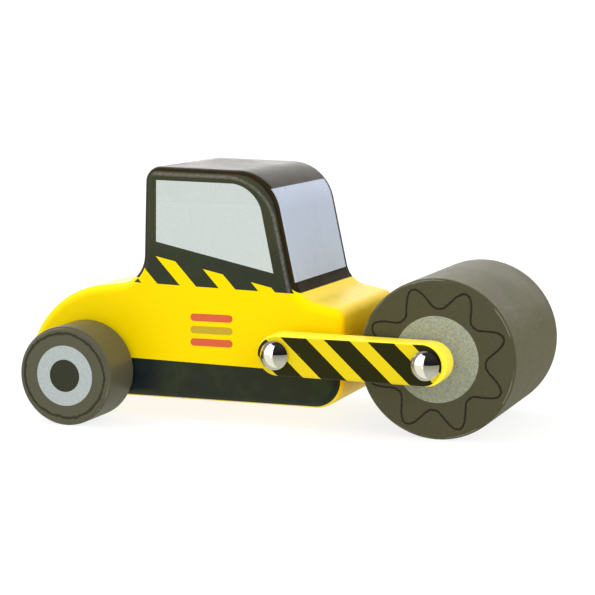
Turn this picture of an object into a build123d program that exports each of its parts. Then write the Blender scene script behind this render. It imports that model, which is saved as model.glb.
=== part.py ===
"""Toy road roller: a wooden push vehicle with a swinging drum frame.

Frame: +X is forward, towards the drum. +Y is the roller's left and +Z is up.
The origin is on the floor, in the middle of the length and of the width.
All sizes are in millimetres.
"""
from build123d import *
from math import hypot, radians, tan
import os

os.makedirs("parts", exist_ok=True)

# ---------------------------------------------------------------- overall layout
overall_length = 182.5
drum_diameter = 55.0
drum_width = 61.8
wheel_diameter = 35.0
wheel_width = 20.0
wheel_inner_y = 32.0
drum_x = overall_length / 2 - drum_diameter / 2
drum_z = drum_diameter / 2
axle_set_back = 0.6
axle_drop = 0.35
axle_x = drum_x - axle_set_back
axle_z = drum_z - axle_drop
pivot_x = 9.75
pivot_z = 27.65
arm_reach = hypot(axle_x - pivot_x, axle_z - pivot_z)
wheel_x = -65.0
wheel_z = wheel_diameter / 2
sides = {"left": 1, "right": -1}

# ---------------------------------------------------------------- body block
body_width = 60.0
body_rear_x = -overall_length / 2
body_front_x = 29.7
body_bottom_z = 7.5
roof_rear_z = 90.05
roof_slope = 1.3
side_edge_radius = 3.2
deck_foot_z = 49.3
deck_slope = 7.8
cab_rear_x = -45.25
cab_rear_lean = 1.8
windscreen_foot_x = 13.4
windscreen_foot_z = 45.5
windscreen_lean = 12.2
hood_slope = 11.5
rear_bottom_radius = 4.5
rear_top_radius = 33.2
deck_foot_radius = 10.6
roof_rear_radius = 5.4
roof_front_radius = 16.4
windscreen_foot_radius = 9.0
hood_front_radius = 3.5
front_bottom_radius = 10.0

# ---------------------------------------------------------------- rods and fits
rod_diameter = 4.0
rod_chamfer = 0.4
running_clearance = 0.06
drum_bore_diameter = 5.5
rod_overhang = 2.3
dowel_diameter = 7.0
dowel_clearance = 0.08
dowel_depth_in_wheel = 14.0
dowel_chamfer = 0.6

# ---------------------------------------------------------------- drum, wheels, arms
drum_edge_radius = 1.2
wheel_edge_radius = 1.3
arm_height = 14.4
arm_thickness = 9.5
arm_inner_y = 32.5
arm_edge_radius = 1.0
arm_rear_trim = 0.7
arm_outer_y = arm_inner_y + arm_thickness

# ---------------------------------------------------------------- caps, retainers, washers
cap_diameter = 10.0
cap_height = 3.4
cap_rim_height = 0.9
cap_wall = 0.45
retainer_thickness = 0.4
retainer_diameter = cap_diameter - 2 * cap_wall
retainer_teeth = 6
retainer_slot_width = 0.5
retainer_slot_reach = 3.4
washer_diameter = 12.0
washer_side_gap = 0.1
washer_bore_clearance = 0.08
washer_edge_radius = 0.3


def across(x, y, z, side):
    """Plane facing outwards across the roller, at distance y from its middle plane."""
    return Plane(origin=(x, side * y, z), x_dir=(-side, 0, 0), z_dir=(0, side, 0))


def finish(piece, name):
    """Label a finished piece and write it to its own file."""
    piece.part.label = name
    export_step(piece.part, f"parts/{name}.step")


# ---------------------------------------------------------------- body block
deck_rise = tan(radians(deck_slope))
deck_rear_z = deck_foot_z - (cab_rear_x - body_rear_x) * deck_rise
roof_rear_x = cab_rear_x + (roof_rear_z - deck_foot_z) * tan(radians(cab_rear_lean))
roof_fall = tan(radians(roof_slope))
windscreen_run = tan(radians(windscreen_lean))
windscreen_height = roof_rear_z - windscreen_foot_z - (windscreen_foot_x - roof_rear_x) * roof_fall
windscreen_height /= 1 - roof_fall * windscreen_run
roof_front_x = windscreen_foot_x - windscreen_height * windscreen_run
roof_front_z = windscreen_foot_z + windscreen_height
hood_front_z = windscreen_foot_z - (body_front_x - windscreen_foot_x) * tan(radians(hood_slope))
body_corners = [
    ((body_rear_x, body_bottom_z), rear_bottom_radius),
    ((body_rear_x, deck_rear_z), rear_top_radius),
    ((cab_rear_x, deck_foot_z), deck_foot_radius),
    ((roof_rear_x, roof_rear_z), roof_rear_radius),
    ((roof_front_x, roof_front_z), roof_front_radius),
    ((windscreen_foot_x, windscreen_foot_z), windscreen_foot_radius),
    ((body_front_x, hood_front_z), hood_front_radius),
    ((body_front_x, body_bottom_z), front_bottom_radius),
]
with BuildPart() as body_block:
    with BuildSketch(Plane.XZ) as body_profile:
        with BuildLine():
            Polyline([corner for corner, radius in body_corners], close=True)
        make_face()
        for (corner_x, corner_z), radius in body_corners:
            corner = body_profile.vertices().sort_by_distance((corner_x, corner_z))[0]
            fillet(corner, radius)
    extrude(amount=body_width / 2, both=True)
    side_faces = body_block.faces().filter_by(Axis.Y)
    fillet(side_faces.edges(), side_edge_radius)
    with BuildSketch(Plane.XZ):
        with Locations((wheel_x, wheel_z)):
            Circle(dowel_diameter / 2 + dowel_clearance)
        with Locations((pivot_x, pivot_z)):
            Circle(rod_diameter / 2 + running_clearance)
    extrude(amount=body_width / 2, both=True, mode=Mode.SUBTRACT)
finish(body_block, "body_block")

# ---------------------------------------------------------------- rear dowel and wheels
dowel_half_length = wheel_inner_y + dowel_depth_in_wheel
with BuildPart() as rear_axle:
    with BuildSketch(Plane.XZ):
        with Locations((wheel_x, wheel_z)):
            Circle(dowel_diameter / 2)
    extrude(amount=dowel_half_length, both=True)
    chamfer(rear_axle.edges().filter_by(GeomType.CIRCLE), dowel_chamfer)
finish(rear_axle, "rear_axle")

for side_name, side in sides.items():
    with BuildPart() as rear_wheel:
        with BuildSketch(across(wheel_x, wheel_inner_y, wheel_z, side)):
            Circle(wheel_diameter / 2)
        extrude(amount=wheel_width)
        fillet(rear_wheel.edges().filter_by(GeomType.CIRCLE), wheel_edge_radius)
        with BuildSketch(across(wheel_x, wheel_inner_y, wheel_z, side)):
            Circle(dowel_diameter / 2)
        extrude(amount=dowel_depth_in_wheel, mode=Mode.SUBTRACT)
    finish(rear_wheel, f"rear_wheel_{side_name}")

# ---------------------------------------------------------------- drum
with BuildPart() as roller_drum:
    with BuildSketch(Plane.XZ):
        with Locations((drum_x, drum_z)):
            Circle(drum_diameter / 2)
    extrude(amount=drum_width / 2, both=True)
    fillet(roller_drum.edges().filter_by(GeomType.CIRCLE), drum_edge_radius)
    with BuildSketch(Plane.XZ):
        with Locations((drum_x, drum_z)):
            Circle(drum_bore_diameter / 2)
    extrude(amount=drum_width / 2, both=True, mode=Mode.SUBTRACT)
finish(roller_drum, "roller_drum")

# ---------------------------------------------------------------- steel rods
for rod_name, rod_x, rod_z in (("drum_axle", axle_x, axle_z), ("arm_pivot_rod", pivot_x, pivot_z)):
    with BuildPart() as rod:
        with BuildSketch(Plane.XZ):
            with Locations((rod_x, rod_z)):
                Circle(rod_diameter / 2)
        extrude(amount=arm_outer_y + rod_overhang, both=True)
        chamfer(rod.edges().filter_by(GeomType.CIRCLE), rod_chamfer)
    finish(rod, rod_name)

# ---------------------------------------------------------------- arms
for side_name, side in sides.items():
    arm_plane = Plane(
        origin=((pivot_x + axle_x) / 2, side * arm_inner_y, (pivot_z + axle_z) / 2),
        x_dir=(axle_x - pivot_x, 0, axle_z - pivot_z),
        z_dir=(0, side, 0),
    )
    with BuildPart() as arm:
        with BuildSketch(arm_plane):
            with Locations((arm_rear_trim / 2, 0)):
                SlotCenterToCenter(arm_reach - arm_rear_trim, arm_height)
        extrude(amount=arm_thickness)
        arm_faces = arm.faces().filter_by(Axis.Y)
        fillet(arm_faces.edges(), arm_edge_radius)
        with BuildSketch(arm_plane):
            with GridLocations(arm_reach, 0, 2, 1):
                Circle(rod_diameter / 2)
        extrude(amount=arm_thickness, mode=Mode.SUBTRACT)
    finish(arm, f"arm_{side_name}")


# ---------------------------------------------------------------- caps and their spring retainers
def push_on_cap(x, z, side):
    """Hollow dome that hides a rod's end. Its rim stands on the arm's outer face."""
    rim_plane = Plane(origin=(x, side * arm_outer_y, z), x_dir=(1, 0, 0), z_dir=(0, 0, side))
    outer_radius = cap_diameter / 2
    shells = (
        (outer_radius, cap_height, Mode.ADD),
        (outer_radius - cap_wall, cap_height - cap_wall, Mode.SUBTRACT),
    )
    with BuildPart() as cap:
        for radius, height, mode in shells:
            dome_rise = height - cap_rim_height
            dome_radius = (radius**2 + dome_rise**2) / (2 * dome_rise)
            with BuildSketch(rim_plane):
                with BuildLine():
                    Polyline((0, height), (0, 0), (radius, 0), (radius, cap_rim_height))
                    RadiusArc((radius, cap_rim_height), (0, height), -dome_radius)
                make_face()
            revolve(axis=Axis((x, side * arm_outer_y, z), (0, side, 0)), mode=mode)
    return cap


def spring_retainer(x, z, side):
    """Sprung steel disc with teeth that grip the rod, held inside the cap's rim."""
    with BuildPart() as retainer:
        with BuildSketch(across(x, arm_outer_y, z, side)):
            Circle(retainer_diameter / 2)
            Circle(rod_diameter / 2, mode=Mode.SUBTRACT)
            with PolarLocations(retainer_slot_reach / 2, retainer_teeth):
                Rectangle(retainer_slot_reach, retainer_slot_width, mode=Mode.SUBTRACT)
        extrude(amount=retainer_thickness)
    return retainer


def spacer_washer(x, z, side, inner_y, thickness):
    """Smooth ring that keeps an arm off its neighbour."""
    with BuildPart() as washer:
        with BuildSketch(across(x, inner_y, z, side)):
            Circle(washer_diameter / 2)
        extrude(amount=thickness)
        fillet(washer.edges().filter_by(GeomType.CIRCLE), washer_edge_radius)
        with BuildSketch(across(x, inner_y, z, side)):
            Circle(rod_diameter / 2 + washer_bore_clearance)
        extrude(amount=thickness, mode=Mode.SUBTRACT)
    return washer


arm_ends = {
    "pivot": (pivot_x, pivot_z, body_width / 2),
    "drum": (axle_x, axle_z, drum_width / 2),
}
for end_name, (end_x, end_z, neighbour_y) in arm_ends.items():
    washer_inner_y = neighbour_y + washer_side_gap
    for side_name, side in sides.items():
        finish(push_on_cap(end_x, end_z, side), f"{end_name}_cap_{side_name}")
        finish(spring_retainer(end_x, end_z, side), f"{end_name}_retainer_{side_name}")
        washer = spacer_washer(end_x, end_z, side, washer_inner_y, arm_inner_y - washer_inner_y)
        finish(washer, f"{end_name}_washer_{side_name}")
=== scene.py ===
"""Looks for the toy road roller: printed lacquer over wood, plated caps, and a pale studio.

Blender works in metres. The patterns on the pieces are worked out in millimetres, in the frame of
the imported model: +X forward, +Y to the roller's left, +Z up, the floor at 0.
"""
import math

import bmesh
import bpy
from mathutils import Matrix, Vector


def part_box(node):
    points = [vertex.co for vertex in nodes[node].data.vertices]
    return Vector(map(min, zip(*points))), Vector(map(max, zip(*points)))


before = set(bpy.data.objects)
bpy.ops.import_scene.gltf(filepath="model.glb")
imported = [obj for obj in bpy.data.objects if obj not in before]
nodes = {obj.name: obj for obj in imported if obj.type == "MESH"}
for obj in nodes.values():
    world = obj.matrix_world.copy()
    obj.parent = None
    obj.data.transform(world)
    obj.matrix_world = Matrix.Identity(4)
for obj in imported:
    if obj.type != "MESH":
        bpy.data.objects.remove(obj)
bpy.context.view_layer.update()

MM = 0.001


# ------------------------------------------------------------------ places taken from the frame
def box_mm(name):
    """Lowest and highest corners of a CAD node, in millimetres."""
    low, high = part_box(name)
    return low / MM, high / MM


def middle(name):
    """Centre of a CAD node's box, in millimetres."""
    low, high = box_mm(name)
    return (low + high) / 2


body_high = box_mm("body_block")[1]
drum_high = box_mm("roller_drum")[1]
drum_centre = middle("roller_drum")
wheel_centre = middle("rear_wheel_right")
wheel_outer_y = box_mm("rear_wheel_left")[1].y
arm_high_y = box_mm("arm_left")[1].y


# ------------------------------------------------------------------ writing nodes as sums
class Field:
    """A number that varies over a surface: a socket, with arithmetic that adds nodes."""

    def __init__(self, look, socket):
        self.look = look
        self.socket = socket

    def __add__(self, other):
        return self.look.math("ADD", self, other)

    def __radd__(self, other):
        return self.look.math("ADD", other, self)

    def __sub__(self, other):
        return self.look.math("SUBTRACT", self, other)

    def __rsub__(self, other):
        return self.look.math("SUBTRACT", other, self)

    def __mul__(self, other):
        return self.look.math("MULTIPLY", self, other)

    def __truediv__(self, other):
        return self.look.math("DIVIDE", self, other)

    def __neg__(self):
        return self * -1.0

    def __abs__(self):
        return self.look.math("ABSOLUTE", self)

    def __pow__(self, other):
        return self.look.math("POWER", self, other)

    def cos(self):
        return self.look.math("COSINE", self)

    def sin(self):
        return self.look.math("SINE", self)

    def fraction(self):
        return self.look.math("FRACT", self)


def lower(a, b):
    """The lower of two fields: the union of two shapes given as distances."""
    return a.look.math("MINIMUM", a, b)


def higher(a, b):
    """The higher of two fields: what two shapes given as distances have in common."""
    return a.look.math("MAXIMUM", a, b)


def length(a, b):
    """Length of the vector with those two parts."""
    return a.look.math("SQRT", a * a + b * b)


NOISE_MIDDLE = 0.5
NOISE_RANGE = (0.3, 0.7)


class Look:
    """One material, built round its Principled shader."""

    def __init__(self, name, **constants):
        self.material = bpy.data.materials.new(name)
        self.material.use_nodes = True
        self.tree = self.material.node_tree
        self.shader = self.tree.nodes["Principled BSDF"]
        for socket, value in constants.items():
            self.shader.inputs[socket.replace("_", " ")].default_value = value
        self.place = self.add("ShaderNodeTexCoord").outputs["Object"]
        split = self.add("ShaderNodeSeparateXYZ")
        self.feed(split.inputs[0], self.place)
        self.x, self.y, self.z = (Field(self, out) * (1 / MM) for out in split.outputs)

    def add(self, kind):
        return self.tree.nodes.new(kind)

    def feed(self, socket, value):
        if isinstance(value, Field):
            value = value.socket
        if isinstance(value, bpy.types.NodeSocket):
            self.tree.links.new(value, socket)
        else:
            socket.default_value = value

    def math(self, operation, *values):
        node = self.add("ShaderNodeMath")
        node.operation = operation
        for socket, value in zip(node.inputs, values):
            self.feed(socket, value)
        return Field(self, node.outputs[0])

    def ink(self, distance, blur=0.06):
        """1 inside an outline and 0 outside it, from the distance to it in millimetres."""
        node = self.add("ShaderNodeMapRange")
        self.feed(node.inputs["Value"], distance)
        node.inputs["From Min"].default_value = blur / 2
        node.inputs["From Max"].default_value = -blur / 2
        return Field(self, node.outputs["Result"])

    def ramp(self, value, low, high, to_low=0.0, to_high=1.0):
        """Smooth step from to_low, where value is low, to to_high, where it is high."""
        node = self.add("ShaderNodeMapRange")
        node.interpolation_type = "SMOOTHSTEP"
        self.feed(node.inputs["Value"], value)
        limits = {"From Min": low, "From Max": high, "To Min": to_low, "To Max": to_high}
        for name, limit in limits.items():
            node.inputs[name].default_value = limit
        return Field(self, node.outputs["Result"])

    def noise(self, size, stretch=(1, 1, 1), detail=2.0, roughness=0.5):
        """Noise with features about size millimetres across, times the stretch on each axis."""
        mapping = self.add("ShaderNodeMapping")
        self.feed(mapping.inputs["Vector"], self.place)
        mapping.inputs["Scale"].default_value = [1 / (size * MM * part) for part in stretch]
        node = self.add("ShaderNodeTexNoise")
        self.feed(node.inputs["Vector"], mapping.outputs["Vector"])
        node.inputs["Scale"].default_value = 1.0
        node.inputs["Detail"].default_value = detail
        node.inputs["Roughness"].default_value = roughness
        return Field(self, node.outputs["Fac"])

    def sway(self, size, swing, **kind):
        """The same noise centred on 0 and scaled by swing."""
        return (self.noise(size, **kind) - NOISE_MIDDLE) * swing

    def patches(self, size, low, high, **kind):
        """Soft patches: 0 where the noise is under low and 1 where it is over high."""
        return self.ramp(self.noise(size, **kind), low, high)

    def specks(self, spacing, radius, softness=0.6):
        """Sparse round specks, as dust under lacquer: 1 in a speck and 0 elsewhere."""
        node = self.add("ShaderNodeTexVoronoi")
        self.feed(node.inputs["Vector"], self.place)
        node.inputs["Scale"].default_value = 1 / (spacing * MM)
        distance = Field(self, node.outputs["Distance"]) * spacing
        chance = self.add("ShaderNodeSeparateColor")
        self.feed(chance.inputs[0], node.outputs["Color"])
        size = Field(self, chance.outputs[0]) * radius
        return self.ink(distance - size, blur=radius * softness)

    def mix(self, share, base, top):
        """Colour top over colour base, by share."""
        node = self.add("ShaderNodeMix")
        node.data_type = "RGBA"
        self.feed(node.inputs["Factor"], share)
        for socket, colour in ((node.inputs["A"], base), (node.inputs["B"], top)):
            self.feed(socket, colour)
        return node.outputs["Result"]

    def shade(self, colour, amount):
        """Colour made lighter or darker by a field round 1."""
        node = self.add("ShaderNodeHueSaturation")
        self.feed(node.inputs["Color"], colour)
        self.feed(node.inputs["Value"], amount)
        return node.outputs["Color"]

    def relief(self, height, depth):
        """Bump as high as the field times a depth in millimetres."""
        node = self.add("ShaderNodeBump")
        node.inputs["Distance"].default_value = depth * MM
        self.feed(node.inputs["Height"], height)
        self.feed(self.shader.inputs["Normal"], node.outputs["Normal"])

    def colour(self, value):
        self.feed(self.shader.inputs["Base Color"], value)

    def roughness(self, value):
        self.feed(self.shader.inputs["Roughness"], value)

    def paint(self, *names):
        """Gives this material to CAD nodes."""
        for name in names:
            mesh = nodes[name].data
            mesh.materials.clear()
            mesh.materials.append(self.material)


class WorldLook(Look):
    """The same sums on the direction that a ray leaves in."""

    def __init__(self, world):
        self.tree = world.node_tree
        self.shader = self.tree.nodes["Background"]
        split = self.add("ShaderNodeSeparateXYZ")
        self.feed(split.inputs[0], self.add("ShaderNodeTexCoord").outputs["Generated"])
        self.x, self.y, self.z = (Field(self, out) for out in split.outputs)


def linear(level):
    """Light of one screen channel from its level of 0 to 255, by the sRGB curve."""
    share = level / 255
    return share / 12.92 if share <= 0.04045 else ((share + 0.055) / 1.055) ** 2.4


def srgb(red, green, blue):
    """Linear colour with alpha from the 0 to 255 levels of a screen."""
    return (linear(red), linear(green), linear(blue), 1.0)


WHITE = (1.0, 1.0, 1.0, 1.0)


# ------------------------------------------------------------------ flat shapes as distances
def outside_line(u, v, start, end):
    """Distance to the right of the line from start to end, negative on its left."""
    along_u, along_v = end[0] - start[0], end[1] - start[1]
    span = math.hypot(along_u, along_v)
    return (u - start[0]) * (along_v / span) - (v - start[1]) * (along_u / span)


def round_corner(a, b, radius):
    """Distance outside two edges that meet in a corner of that radius."""
    over_a, over_b = a + radius, b + radius
    beyond = length(higher(over_a, 0.0), higher(over_b, 0.0))
    return beyond + lower(higher(over_a, over_b), 0.0) - radius


def outside_box(u, v, low, high, radius=0.0):
    """Distance outside a rectangle with round corners."""
    over_u = abs(u - (low[0] + high[0]) / 2) - (high[0] - low[0]) / 2
    over_v = abs(v - (low[1] + high[1]) / 2) - (high[1] - low[1]) / 2
    return round_corner(over_u, over_v, radius)


def stripes(u, v, base, period, black, slant):
    """Distance outside black stripes that lean back as they rise, from u = base at v = 0."""
    place = (u + v * slant - base) * (1 / period)
    across = abs(place.fraction() - black / period / 2)
    nearest = lower(across, 1.0 - across)
    return (nearest - black / period / 2) * (period / math.hypot(1, slant))


# ------------------------------------------------------------------ colours of paint and ink
YELLOW = srgb(240, 208, 0)
ARM_YELLOW = srgb(218, 194, 26)
# paler yellow painted on the arms' edges and ends as a highlight
HIGHLIT_EDGE_YELLOW = srgb(250, 226, 60)
# deep orange-yellow: colour of the painted shade on the front face and of the patches on the hood
DEEP_YELLOW = srgb(252, 194, 0)
SIDE_BLACK = srgb(46, 49, 44)
# darker, bluer black painted low on the cab's sides as shade
SHADED_LOW_BLACK = srgb(30, 39, 42)
GREEN_BLACK = srgb(34, 52, 42)
SKIRT_BLACK = srgb(20, 29, 38)
ARM_BLACK_INK = srgb(15, 17, 15)
TOP_BLACK = srgb(32, 22, 15)
# pale grey of the cab's edge band: painted highlight over worn paint
WORN_AND_SHEEN_BLACK = srgb(120, 115, 114)
GLASS_INK = srgb(187, 195, 194)
SCREEN_TOP_INK = srgb(163, 172, 190)
SCREEN_LOW_INK = srgb(165, 174, 188)
CORAL_INK = srgb(205, 88, 60)
OLIVE_INK = srgb(186, 156, 44)
DRUM_GREY = srgb(71, 69, 48)
TREAD_BROWN = srgb(124, 110, 90)
WHEEL_GREY = srgb(73, 71, 56)
WORN_AND_SHEEN_GREY = srgb(176, 176, 160)
DISC_INK = srgb(146, 150, 132)
HUB_INK = srgb(163, 171, 171)
HUB_DARK = srgb(27, 30, 22)
LINE_INK = srgb(10, 9, 6)
RING_INK = srgb(30, 28, 18)
DUST = srgb(206, 204, 190)
COOL_DOT = srgb(112, 136, 158)
WARM_DOT = srgb(176, 168, 120)
STEEL = srgb(196, 194, 190)
PLATING = srgb(238, 233, 226)
SPRING_STEEL = srgb(120, 122, 128)
NYLON_WHITE = srgb(226, 224, 214)
BEECH_LIGHT = srgb(205, 166, 120)
BEECH_DARK = srgb(168, 124, 82)


# ------------------------------------------------------------------ lacquer and speckled ink
TURNING_MARKS = (1.0, 0.09, 1.0)
WARM_SHINE = (1.0, 0.9, 0.12, 1.0)
DULL_SHINE = (1.0, 0.95, 0.7, 1.0)
COOL_SHARE = 0.25
WARM_SHARE = 0.2
DUST_SPACING = 3.1
DUST_SHARE = 0.35
GRAIN_SIZE = 0.55
GRAIN_WEIGHT = 0.6
PEEL_SIZE = 0.5
PEEL_DEPTH = 0.005
CLOUD_SIZE = 14.0
MOTTLE_SIZE = 0.8
GRIT_SIZE = 0.22
TINT_SIZE = 0.4
TINT_SPREAD = 0.25
CLOUD_TONE = 0.04
GRAIN_TONE = 0.03
GLOSS_BELOW = 0.05
GLOSS_ABOVE = 0.06


def lacquer(name, grain_stretch, rough=0.3, shine=0.3, tint=WARM_SHINE):
    """Sprayed lacquer over sanded wood: fine orange peel and a trace of the grain under it."""
    look = Look(name, Specular_IOR_Level=shine, Specular_Tint=tint)
    grain = look.noise(GRAIN_SIZE, grain_stretch, detail=3.0, roughness=0.6)
    peel = look.noise(PEEL_SIZE, detail=1.0)
    cloud = look.noise(CLOUD_SIZE, detail=2.0)
    look.surface = grain * GRAIN_WEIGHT + peel * (1 - GRAIN_WEIGHT)
    look.mottle = look.noise(MOTTLE_SIZE, detail=3.0, roughness=0.7)
    look.grit = look.noise(GRIT_SIZE, detail=1.0)
    look.tint = look.noise(TINT_SIZE, detail=1.0)
    look.tone = 1.0 + (cloud - NOISE_MIDDLE) * CLOUD_TONE + (grain - NOISE_MIDDLE) * GRAIN_TONE
    cloudy = grain * 0.5 + cloud * 0.5
    look.gloss = look.ramp(cloudy, *NOISE_RANGE, rough - GLOSS_BELOW, rough + GLOSS_ABOVE)
    look.roughness(look.gloss)
    return look


def uneven(look, tone, coarse, fine):
    """Tone made uneven by coarse mottling and by fine grit."""
    return tone + (look.mottle - NOISE_MIDDLE) * coarse + (look.grit - NOISE_MIDDLE) * fine


def speckled(look, ink, coarse, fine):
    """Ink with the grain of a transfer print: dots darker, lighter, bluish or yellowish."""
    ink = look.shade(ink, uneven(look, 1.0, coarse, fine))
    cool = look.ramp(look.tint, NOISE_MIDDLE, NOISE_MIDDLE + TINT_SPREAD, 0.0, fine * COOL_SHARE)
    warm = look.ramp(look.tint, NOISE_MIDDLE, NOISE_MIDDLE - TINT_SPREAD, 0.0, fine * WARM_SHARE)
    return look.mix(warm, look.mix(cool, ink, COOL_DOT), WARM_DOT)


def dusted(look, colour, radius):
    """Colour with specks of dust caught in the lacquer."""
    return look.mix(look.specks(DUST_SPACING, radius) * DUST_SHARE, colour, DUST)


# ------------------------------------------------------------------ body: lacquer and prints
STRIPE_LEAN = 0.92
BAND_BASE = ((-45.0, 48.75), (11.5, 47.4))
BAND_BASE_Z = 48.3
BAND_PERIOD = 14.5
BAND_BLACK = 8.45
BAND_START_X = -38.8
BAND_TOP = ((-39.5, 58.4), (3.0, 49.3))
SILL = ((-39.4, 63.6), (4.8, 54.1))
WINDOW_REAR = ((-39.5, 60.0), (-39.2, 85.2))
WINDOW_TOP = ((-39.2, 85.3), (-1.7, 84.6))
WINDOW_FRONT = ((4.8, 53.9), (-1.7, 85.2))
WINDOW_CORNER = 9.2
SCREEN_Y = (-28.0, 25.6)
SCREEN_TOP_Z = 83.15
SCREEN_FOOT = ((-27.3, 51.0), (27.3, 50.75))
BAND_FOOT = ((-27.3, 47.4), (27.3, 47.05))
BAND_CORNER = 2.2
BAND_SIDE_GAP = 0.35
SCREEN_REAR_X = -8.0
SCREEN_FADE_Z = (52.0, 82.0)
REAR_PANE = ((-22.0, 62.0), (22.0, 82.0))
PANE_CORNER = 2.0
REAR_FOOT_Z = 50.6
REAR_OVERLAP = 0.1
CAB_TOP_Z = 78.0
REAR_X = -36.0
SKIRT_TOP = ((-47.0, 21.6), (-5.5, 20.8))
SKIRT_X = (-87.5, 28.9)
SKIRT_FOOT_Z = 8.15
SKIRT_CORNER = 9.5
SIDE_REACH = 0.5
SKIRT_REACH = 1.35
ROOF_EDGE = ((-44.0, 90.05), (6.0, 88.92))
SCREEN_EDGE = ((13.4, 45.5), (4.0, 89.0))
ROOF_CORNER = 16.4
# place and width of the painted highlight and wear band, inside the cab's outline
RUB_SHEEN_INSET = 2.45
RUB_SHEEN_HALF_WIDTH = 0.45
VENT_X = (-26.5, -10.5)
VENT_Z = (37.4, 33.0, 28.6)
VENT_HALF_HEIGHT = 1.35
VENT_CORNER = 1.3
WANDER_SIZE = 0.5
PRINT_WANDER = 0.12
# painted shade on the body's front face, deepening towards its foot
FRONT_SHADE_X = (26.0, 29.5)
FRONT_SHADE_Z = (43.0, 33.0)
FRONT_SHADE_SHARE = (0.2, 0.9)
HOOD_PATCH_X = (15.0, 19.0)
HOOD_PATCH_SHARE = 0.35
SHADED_LOW_BLACK_Z = (68.0, 56.0)
GREEN_SHARE = 0.4
RUB_SHEEN_START_X = (-42.0, -39.0)
RUB_SHEEN_SHARE = (0.35, 0.75)
ROOF_PEEL = 16.0
SCREEN_DULLNESS = 0.25


def side_print(look, x, z, off_side):
    """Masks of the print on the body's sides: hazard band and cab posts, window, and skirt."""
    stripe = stripes(x, z - BAND_BASE_Z, BAND_START_X, BAND_PERIOD, BAND_BLACK, STRIPE_LEAN)
    over_band = outside_line(x, z, *BAND_TOP)
    cab = higher(outside_line(x, z, *BAND_BASE), lower(stripe, over_band))
    top_corner = round_corner(
        outside_line(x, z, *WINDOW_FRONT), -outside_line(x, z, *WINDOW_TOP), WINDOW_CORNER
    )
    window = higher(top_corner, -outside_line(x, z, *WINDOW_REAR))
    window = higher(window, outside_line(x, z, *SILL))
    skirt = higher(
        round_corner(x - SKIRT_X[1], SKIRT_FOOT_Z - z, SKIRT_CORNER),
        higher(SKIRT_X[0] - x, -outside_line(x, z, *SKIRT_TOP)),
    )
    off_skirt = body_high.y - SKIRT_REACH - abs(look.y)
    return (
        look.ink(higher(cab, off_side)),
        look.ink(higher(window, off_side)),
        look.ink(higher(skirt, off_skirt)),
    )


def vent_print(look, x, z, off_side):
    """Masks of the two coral bars and of the olive bar between them."""
    bars = [
        outside_box(
            x,
            z,
            (VENT_X[0], level - VENT_HALF_HEIGHT),
            (VENT_X[1], level + VENT_HALF_HEIGHT),
            VENT_CORNER,
        )
        for level in VENT_Z
    ]
    return look.ink(higher(lower(bars[0], bars[2]), off_side)), look.ink(higher(bars[1], off_side))


def worn_and_highlit_edge(look, x, z):
    """Share of wear and of painted highlight along the front and top edge of the cab's side: a
    pale band for the sheen of the rounded edge, broken up by worn patches.
    """
    inset = -round_corner(
        -outside_line(x, z, *ROOF_EDGE), outside_line(x, z, *SCREEN_EDGE), ROOF_CORNER
    )
    rub_and_sheen = look.ink(abs(inset - RUB_SHEEN_INSET) - RUB_SHEEN_HALF_WIDTH, blur=0.8) * look.ramp(x, *RUB_SHEEN_START_X)
    return rub_and_sheen * look.ramp(look.noise(1.2, detail=4.0, roughness=0.7), 0.4, 0.62, *RUB_SHEEN_SHARE)


def body_yellow(look, x, z):
    """Yellow lacquer. Painted shade makes the front face a deeper orange-yellow towards its foot,
    and patches of the same deeper yellow lie over the hood and front.
    """
    front_shade = look.ramp(x, *FRONT_SHADE_X) * look.ramp(z, *FRONT_SHADE_Z, *FRONT_SHADE_SHARE)
    yellow = look.mix(front_shade, look.shade(YELLOW, look.tone), DEEP_YELLOW)
    # patches of deeper yellow over the hood and front, forward of the windscreen
    hood_patches = look.patches(9.0, low=0.5, high=0.75, stretch=(0.5, 1.6, 1.0), detail=3.0)
    hood_patches = hood_patches * look.ramp(x, *HOOD_PATCH_X)
    return look.mix(hood_patches * HOOD_PATCH_SHARE, yellow, DEEP_YELLOW)


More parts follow.
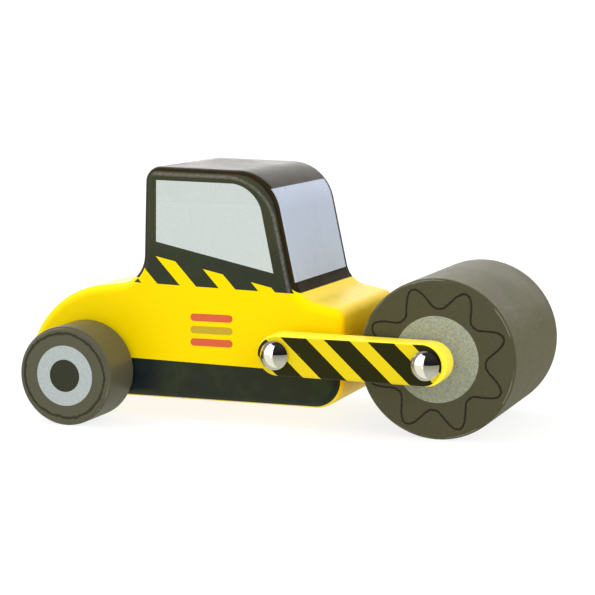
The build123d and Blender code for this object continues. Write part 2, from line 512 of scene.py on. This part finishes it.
def body_look():
    look = lacquer("body_lacquer", grain_stretch=(0.07, 1.0, 1.0))
    wander = look.sway(WANDER_SIZE, PRINT_WANDER, detail=1.0)
    x, y, z = look.x + wander, look.y, look.z + wander
    off_side = body_high.y - SIDE_REACH - abs(y)
    on_side_cab, window, on_skirt = side_print(look, x, z, off_side)
    coral, olive = vent_print(look, x, z, off_side)

    front_cab = round_corner(
        outside_line(y, z, *BAND_FOOT), abs(y) - (body_high.y - BAND_SIDE_GAP), BAND_CORNER
    )
    front_cab = higher(front_cab, -x)
    rear_cab = higher(higher(REAR_FOOT_Z - z, x - REAR_X), -off_side - REAR_OVERLAP)
    on_top = look.ink(lower(front_cab, lower(CAB_TOP_Z - z, rear_cab)))
    screen = outside_box(y, z, (SCREEN_Y[0], 0.0), (SCREEN_Y[1], SCREEN_TOP_Z))
    screen = higher(screen, outside_line(y, z, *SCREEN_FOOT))
    screen = look.ink(higher(screen, SCREEN_REAR_X - x))
    pane = look.ink(higher(outside_box(y, z, *REAR_PANE, PANE_CORNER), x - REAR_X))
    screen_ink = look.mix(look.ramp(z, *SCREEN_FADE_Z), SCREEN_LOW_INK, SCREEN_TOP_INK)

    streak = look.sway(0.6, 2.4, stretch=(0.12, 1.0, 1.0), detail=3.0, roughness=0.7)
    blotchy = uneven(look, 1.0, coarse=0.5, fine=0.6)
    green = look.patches(7.0, low=0.45, high=0.7, detail=3.0) * GREEN_SHARE
    # painted shade: the cab side's black turns darker and bluer towards the foot of the cab
    side_black = look.mix(look.ramp(z, *SHADED_LOW_BLACK_Z), SIDE_BLACK, SHADED_LOW_BLACK)
    side_black = look.mix(green, look.shade(side_black, blotchy), GREEN_BLACK)
    skirt_black = look.mix(green, look.shade(SKIRT_BLACK, blotchy), GREEN_BLACK)

    colour = body_yellow(look, x, z)
    for share, ink in (
        (coral, speckled(look, CORAL_INK, coarse=0.2, fine=0.3)),
        (olive, speckled(look, OLIVE_INK, coarse=0.2, fine=0.3)),
        (on_top, look.shade(TOP_BLACK, 1.0 + streak)),
        (on_side_cab, side_black),
        # worn edge with a painted highlight: a pale band along the cab's front and top edges
        (worn_and_highlit_edge(look, x, z) * on_side_cab, WORN_AND_SHEEN_BLACK),
        (on_skirt, skirt_black),
        (window, speckled(look, GLASS_INK, coarse=0.12, fine=0.25)),
        (higher(screen, pane), speckled(look, screen_ink, coarse=0.14, fine=0.14)),
    ):
        colour = look.mix(share, colour, ink)
    look.colour(dusted(look, colour, radius=0.13))
    look.relief(look.surface * (1.0 + on_top * ROOF_PEEL), PEEL_DEPTH)
    on_screen = look.ink(higher(front_cab, z - SCREEN_FOOT[0][1]))
    look.roughness(look.gloss + on_screen * SCREEN_DULLNESS)
    return look


# ------------------------------------------------------------------ arms
ARM_PRINT_Z = (20.0, 34.0)
ARM_PRINT_X = (3.2, 68.7)
ARM_PERIOD = 15.55
ARM_BLACK = 9.25
ARM_LEAN = 1.075
ARM_START_X = 11.7
ARM_REACH = 0.85
ARM_STRIPE_DROP = 0.1
ARM_CORNER_TRIM = 0.01
HIGHLIT_RIM_TONE = 0.98


def arm_look():
    look = lacquer("arm_lacquer", grain_stretch=(0.09, 1.0, 1.0))
    look.relief(look.surface, PEEL_DEPTH)
    wander = look.sway(WANDER_SIZE, PRINT_WANDER, detail=1.0)
    x, z = look.x + wander, look.z + wander
    radius = (ARM_PRINT_Z[1] - ARM_PRINT_Z[0]) / 2 - ARM_CORNER_TRIM
    low, high = zip(ARM_PRINT_X, ARM_PRINT_Z)
    edge = outside_box(x, z, low, high, radius)
    base_z = ARM_PRINT_Z[1] + ARM_STRIPE_DROP
    stripe = stripes(x, z - base_z, ARM_START_X, ARM_PERIOD, ARM_BLACK, ARM_LEAN)
    off_face = arm_high_y - ARM_REACH - abs(look.y)
    on_face = look.ink(higher(edge, off_face))
    printed = look.ink(higher(higher(stripe, edge), off_face))
    # painted highlight: the arm's unprinted top, ends and edges are a paler yellow than its
    # printed face
    highlit_rim_yellow = look.shade(HIGHLIT_EDGE_YELLOW, look.tone * HIGHLIT_RIM_TONE)
    colour = look.mix(on_face, highlit_rim_yellow, look.shade(ARM_YELLOW, look.tone))
    black = look.shade(ARM_BLACK_INK, uneven(look, 1.0, coarse=0.8, fine=0.9))
    look.colour(dusted(look, look.mix(printed, colour, black), radius=0.12))
    return look


# ------------------------------------------------------------------ drum
PRINT_SET_BACK = 0.2
DISC_RADIUS = 14.8
DISC_SHADE = (0.8, 1.0)
STAR_POINTS = 8
STAR_VALLEY = 17.28
STAR_RISE = 7.45
STAR_SHARPNESS = 1.35
STAR_TURN = math.radians(19.9)
STAR_LINE = 0.72
DRUM_PEEL_DEPTH = 0.2
MOTTLE_WEIGHT = 0.6
BROWN_SHARE = 0.4
FACE_REACH = 0.6
RIM_INSET = 0.6
RIM_LINE = 0.16
RIM_LINE_SHARE = 0.45
RIM_CHIP = 0.6
RIM_CHIP_SHARE = 0.7
# painted light and shade: tread lightened and end face darkened from one grey
LIT_TREAD_TONE = 1.3
SHADED_FRONT_TONE = 0.87


def worn_and_highlit_rim(look, radius, edge_radius, strength=1.0):
    """Share of pale rubbing and painted highlight where a face rounds over into the tread: a faint
    pale line for the rim's sheen, with worn chips.
    """
    distance = abs(radius - edge_radius)
    # the faint line is a painted highlight; the chips are wear
    line = look.ink(distance - RIM_LINE / 2, blur=0.3) * look.patches(9.0, low=0.45, high=0.6)
    chips = look.ink(distance - RIM_CHIP / 2, blur=0.2)
    chips = chips * look.patches(1.1, low=0.62, high=0.7, detail=3.0, roughness=0.7)
    return higher(line * RIM_LINE_SHARE, chips * RIM_CHIP_SHARE) * strength


def star_line(look, u, v, radius):
    """Distance outside the wavy star line: a raised cosine of the angle, measured square to it."""
    turn = (look.math("ARCTAN2", v, u) - STAR_TURN) * STAR_POINTS
    swell = (turn.cos() + 1.0) * 0.5
    wave = swell**STAR_SHARPNESS * STAR_RISE + STAR_VALLEY
    steepness = STAR_RISE * STAR_SHARPNESS * STAR_POINTS / 2
    lean = turn.sin() * swell ** (STAR_SHARPNESS - 1) * steepness / radius
    ragged = look.sway(0.4, 0.9, detail=2.0, roughness=0.7)
    return abs(radius - wave) / length(lean, 1.0) - STAR_LINE / 2 - ragged


def drum_look():
    look = lacquer("drum_lacquer", TURNING_MARKS, rough=0.45, shine=0.35, tint=DULL_SHINE)
    rough_coat = look.surface * (1 - MOTTLE_WEIGHT) + look.mottle * MOTTLE_WEIGHT
    look.relief(rough_coat, DRUM_PEEL_DEPTH)
    u, v = look.x - drum_centre.x + PRINT_SET_BACK, look.z - drum_centre.z
    radius = length(u, v)
    off_face = drum_high.y - FACE_REACH - abs(look.y)
    blotches = look.patches(1.3, low=0.48, high=0.7, detail=4.0, roughness=0.8)
    # painted light and shade: the tread is a lighter copy of the drum's grey, the end face a
    # darker one
    tread = look.shade(DRUM_GREY, uneven(look, look.tone * LIT_TREAD_TONE, coarse=0.7, fine=1.1))
    tread = look.mix(blotches * BROWN_SHARE, tread, TREAD_BROWN)
    brushed = look.sway(0.5, 1.3, stretch=(1.0, 1.0, 0.04), detail=3.0, roughness=0.6)
    mottled = (look.mottle - NOISE_MIDDLE) * 0.4
    front = look.shade(DRUM_GREY, look.tone * SHADED_FRONT_TONE + brushed + mottled)
    colour = look.mix(look.ink(off_face, blur=0.3), tread, front)
    disc_ink = speckled(look, DISC_INK, coarse=0.9, fine=2.0)
    # painted shade: the disc's ink darkens towards the bottom
    disc_ink = look.shade(disc_ink, look.ramp(v, -DISC_RADIUS, DISC_RADIUS, *DISC_SHADE))
    colour = look.mix(look.ink(higher(radius - DISC_RADIUS, off_face)), colour, disc_ink)
    star = look.ink(higher(star_line(look, u, v, radius), off_face))
    colour = look.mix(star, colour, LINE_INK)
    # pale rim: painted highlight on the rounded edge, with worn chips
    look.colour(look.mix(worn_and_highlit_rim(look, radius, drum_centre.z - RIM_INSET), colour, WORN_AND_SHEEN_GREY))
    return look


# ------------------------------------------------------------------ rear wheels
HUB_RADIUS = 10.65
HUB_CENTRE_RADIUS = 5.72
HUB_RISE = 0.2
RING_RADIUS = 15.1
RING_SET_BACK = 0.2
RING_LINE = 0.9
# Waves in a turn, start in radians and swing in millimetres, wave by wave.
RING_WOBBLE = ((2.0, 0.4, 0.28), (5.0, 1.0 - math.pi / 2, 0.12), (13.0, 0.0, 0.06))
WHEEL_PEEL_DEPTH = 0.012
WHEEL_WEAR_AND_SHEEN = 0.45


def hand_drawn_ring(look, u, v):
    """Distance outside the uneven dark ring near the wheel's rim."""
    angle = look.math("ARCTAN2", v, u)
    wobble = sum((angle * waves + start).cos() * swing for waves, start, swing in RING_WOBBLE)
    ragged = look.sway(0.6, 1.1, detail=4.0, roughness=0.75)
    jolt = look.sway(1.8, 1.1, detail=2.0)
    radius = length(u + RING_SET_BACK, v - HUB_RISE)
    return abs(radius - RING_RADIUS - wobble - jolt) - RING_LINE / 2 - ragged


def wheel_look():
    look = lacquer("wheel_lacquer", TURNING_MARKS, rough=0.38, shine=0.4, tint=DULL_SHINE)
    look.relief(look.surface, WHEEL_PEEL_DEPTH)
    u, v = look.x - wheel_centre.x, look.z - wheel_centre.z
    radius = length(u, v)
    print_radius = length(u, v - HUB_RISE)
    off_face = wheel_outer_y - FACE_REACH - abs(look.y)
    ring = look.ink(higher(hand_drawn_ring(look, u, v), off_face), blur=0.25)
    hub = look.ink(higher(print_radius - HUB_RADIUS, off_face))
    centre = look.ink(higher(print_radius - HUB_CENTRE_RADIUS, off_face))
    worn_and_sheen = worn_and_highlit_rim(look, radius, wheel_centre.z - RIM_INSET, WHEEL_WEAR_AND_SHEEN)
    colour = look.shade(WHEEL_GREY, uneven(look, look.tone, coarse=0.2, fine=0.2))
    for share, ink in (
        (ring, RING_INK),
        (hub, speckled(look, HUB_INK, coarse=0.35, fine=0.8)),
        (centre, look.shade(HUB_DARK, uneven(look, 1.0, coarse=1.0, fine=3.0))),
        (worn_and_sheen, WORN_AND_SHEEN_GREY),
    ):
        colour = look.mix(share, colour, ink)
    look.colour(colour)
    return look


# ------------------------------------------------------------------ metal, nylon and bare wood
def metal_look(name, colour, rough, depth, scratch_stretch=(1, 1, 1)):
    """Bare or plated metal with fine scratches, drawn out by the stretch."""
    look = Look(name, Metallic=1.0)
    scratch = look.noise(0.12, scratch_stretch, detail=3.0)
    look.colour(look.shade(colour, 0.97 + look.sway(2.5, 0.08)))
    look.roughness(look.ramp(scratch, *NOISE_RANGE, rough * 0.7, rough * 1.3))
    look.relief(scratch, depth)
    return look


def nylon_look():
    look = Look("washer_nylon", Subsurface_Weight=0.15)
    look.shader.inputs["Subsurface Radius"].default_value = (0.6 * MM, 0.5 * MM, 0.4 * MM)
    look.colour(look.shade(NYLON_WHITE, 1.0 + look.sway(1.5, 0.08)))
    look.roughness(look.ramp(look.noise(0.3), *NOISE_RANGE, 0.4, 0.5))
    look.relief(look.noise(0.2), 0.006)
    return look


def bare_wood_look():
    look = Look("bare_beech")
    grain = look.noise(0.5, (1, 18, 1), detail=4.0, roughness=0.65)
    look.colour(look.mix(look.ramp(grain, 0.35, 0.7), BEECH_LIGHT, BEECH_DARK))
    look.roughness(look.ramp(grain, *NOISE_RANGE, 0.55, 0.7))
    look.relief(grain, 0.03)
    return look


def both(name):
    """The left and the right node of a pair."""
    return f"{name}_left", f"{name}_right"


body_look().paint("body_block")
arm_look().paint(*both("arm"))
drum_look().paint("roller_drum")
wheel_look().paint(*both("rear_wheel"))
bare_wood_look().paint("rear_axle")
steel = metal_look("drawn_steel", STEEL, rough=0.28, depth=0.004, scratch_stretch=(1, 12, 1))
steel.paint("drum_axle", "arm_pivot_rod")
plating = metal_look("cap_plating", PLATING, rough=0.06, depth=0.0005)
plating.paint(*both("pivot_cap"), *both("drum_cap"))
spring_steel = metal_look("spring_steel", SPRING_STEEL, rough=0.3, depth=0.003)
spring_steel.paint(*both("pivot_retainer"), *both("drum_retainer"))
nylon_look().paint(*both("pivot_washer"), *both("drum_washer"))


# ------------------------------------------------------------------ floor
FLOOR_RADIUS = 40.0
FLOOR_SIDES = 96
FLOOR_WHITE = (0.2, 0.2, 0.2, 1.0)
FLOOR_GLOW = 0.82


def pale_floor():
    """Large white disc. Its own faint light keeps it as pale as the background."""
    mesh = bpy.data.meshes.new("floor")
    shape = bmesh.new()
    bmesh.ops.create_circle(shape, cap_ends=True, segments=FLOOR_SIDES, radius=FLOOR_RADIUS)
    shape.to_mesh(mesh)
    shape.free()
    floor = bpy.data.objects.new("floor", mesh)
    bpy.context.scene.collection.objects.link(floor)
    floor.visible_glossy = False
    look = Look("floor_paper", Roughness=0.9, Specular_IOR_Level=0.0)
    look.colour(look.shade(FLOOR_WHITE, 1.0 + look.sway(60.0, 0.01)))
    look.shader.inputs["Emission Color"].default_value = WHITE
    look.shader.inputs["Emission Strength"].default_value = FLOOR_GLOW
    mesh.materials.append(look.material)


pale_floor()


# ------------------------------------------------------------------ camera
VIEW_AZIMUTH = math.radians(20.2)
VIEW_ELEVATION = math.radians(7.59)
VIEW_DISTANCE = 701.8 * MM
VIEW_TARGET = Vector((2.6, 0.0, 41.9)) * MM
LENS = 117.74


def direction(azimuth, elevation):
    """Unit vector towards an azimuth counted from -Y towards +X, and an elevation."""
    flat = math.cos(elevation)
    return Vector((math.sin(azimuth) * flat, -math.cos(azimuth) * flat, math.sin(elevation)))


def look_at(thing, place, target):
    """Puts a camera or lamp at a place, facing the target, and links it to the scene."""
    thing.location = place
    thing.rotation_euler = (target - place).to_track_quat("-Z", "Y").to_euler()
    bpy.context.scene.collection.objects.link(thing)


camera = bpy.data.objects.new("camera", bpy.data.cameras.new("camera"))
camera.data.lens = LENS
camera.data.clip_start = 10 * MM
camera.data.clip_end = 2 * FLOOR_RADIUS
look_at(camera, VIEW_TARGET + VIEW_DISTANCE * direction(VIEW_AZIMUTH, VIEW_ELEVATION), VIEW_TARGET)
bpy.context.scene.camera = camera


# ------------------------------------------------------------------ light
EVEN_LIGHT = 0.95
BACKGROUND = 1.12
TABLE_TINT = (0.98, 1.0, 0.86, 1.0)
PANEL_MIDDLE = -43.0
PANEL_HALF_WIDTH = 31.0
PANEL_TOP = (0.88, 0.8)
PANEL_FOOT = (-0.08, 0.1)
PANEL_LIGHT = (1.0, 2.2)
SIDE_PANEL_MIDDLE = 106.0
SIDE_PANEL_HALF_WIDTH = 12.0
SIDE_PANEL_LIGHT = 1.6
SIDE_PANEL_ON_TABLE = 0.1
REAR_WALL_MIDDLE = -110.0
REAR_WALL_HALF_WIDTH = 40.0
REAR_WALL_LIGHT = 0.28
BACKDROP_FACING = (-0.342, 0.94)
BACKDROP_EDGE = (0.8, 0.94)
BACKDROP_TOP = (0.9, 0.75)
BACKDROP_BAND = (0.12, 0.3)
BACKDROP_LIGHT = (2.7, 0.85)
CEILING_LIGHT = (0.012, 0.035)
TABLE_REACH = (-0.02, -0.9)
TABLE_LIGHT = (0.36, 0.62)
HORIZON = (0.01, -0.01)
LAMP_DISTANCE = 2.4


def area_light(name, azimuth, elevation, width, height, watts):
    """Softbox. Reflections see the studio of studio_world in its place."""
    lamp = bpy.data.lights.new(name, "AREA")
    lamp.shape = "RECTANGLE"
    lamp.size = width
    lamp.size_y = height
    lamp.energy = watts
    way = direction(math.radians(azimuth), math.radians(elevation))
    holder = bpy.data.objects.new(name, lamp)
    look_at(holder, VIEW_TARGET + LAMP_DISTANCE * way, VIEW_TARGET)
    holder.visible_glossy = False


def wall(look, azimuth, middle, half_width, blur):
    """Share of an upright wall round a middle azimuth, in degrees, with soft sides."""
    return look.ramp(abs(azimuth - middle), half_width + blur, half_width - blur)


def studio_world():
    """Even light, and for reflections a studio: backdrop, panels, wall, table, dim ceiling."""
    world = bpy.data.worlds.new("studio")
    world.use_nodes = True
    bpy.context.scene.world = world
    look = WorldLook(world)
    azimuth = look.math("ARCTAN2", look.x, -look.y) * (180 / math.pi)
    panel = wall(look, azimuth, PANEL_MIDDLE, PANEL_HALF_WIDTH, blur=2)
    panel = panel * look.ramp(look.z, *PANEL_TOP)
    panel_light = look.ramp(look.z, *PANEL_FOOT, *PANEL_LIGHT)
    side_panel = wall(look, azimuth, SIDE_PANEL_MIDDLE, SIDE_PANEL_HALF_WIDTH, blur=4)
    rear_wall = wall(look, azimuth, REAR_WALL_MIDDLE, REAR_WALL_HALF_WIDTH, blur=6)
    facing = look.x * BACKDROP_FACING[0] + look.y * BACKDROP_FACING[1]
    facing = facing / length(look.x, look.y)
    behind = look.ramp(facing, *BACKDROP_EDGE) * look.ramp(look.z, *BACKDROP_TOP)
    backdrop = look.ramp(look.z, *BACKDROP_BAND, *BACKDROP_LIGHT)
    ceiling = look.ramp(look.z, 0.0, 1.0, *CEILING_LIGHT)
    above = ceiling + behind * (backdrop - ceiling)
    above = above + side_panel * SIDE_PANEL_LIGHT + rear_wall * REAR_WALL_LIGHT
    table = look.ramp(look.z, *TABLE_REACH, *TABLE_LIGHT) + side_panel * SIDE_PANEL_ON_TABLE
    below = look.ramp(look.z, *HORIZON)
    room = above + below * (table - above)
    room = room + panel * (panel_light - room)
    path = look.add("ShaderNodeLightPath")
    glossy = Field(look, path.outputs["Is Glossy Ray"])
    seen = Field(look, path.outputs["Is Camera Ray"]) * (BACKGROUND - EVEN_LIGHT)
    look.feed(look.shader.inputs["Strength"], EVEN_LIGHT + seen + glossy * (room - EVEN_LIGHT))
    look.feed(look.shader.inputs["Color"], look.mix(glossy * below, WHITE, TABLE_TINT))


studio_world()
area_light("key", azimuth=60, elevation=20, width=1.6, height=2.2, watts=28)
area_light("side", azimuth=90, elevation=28, width=1.2, height=2.0, watts=12)
area_light("rear", azimuth=-90, elevation=50, width=2.0, height=2.0, watts=44)
bpy.context.scene.view_settings.view_transform = "Standard"
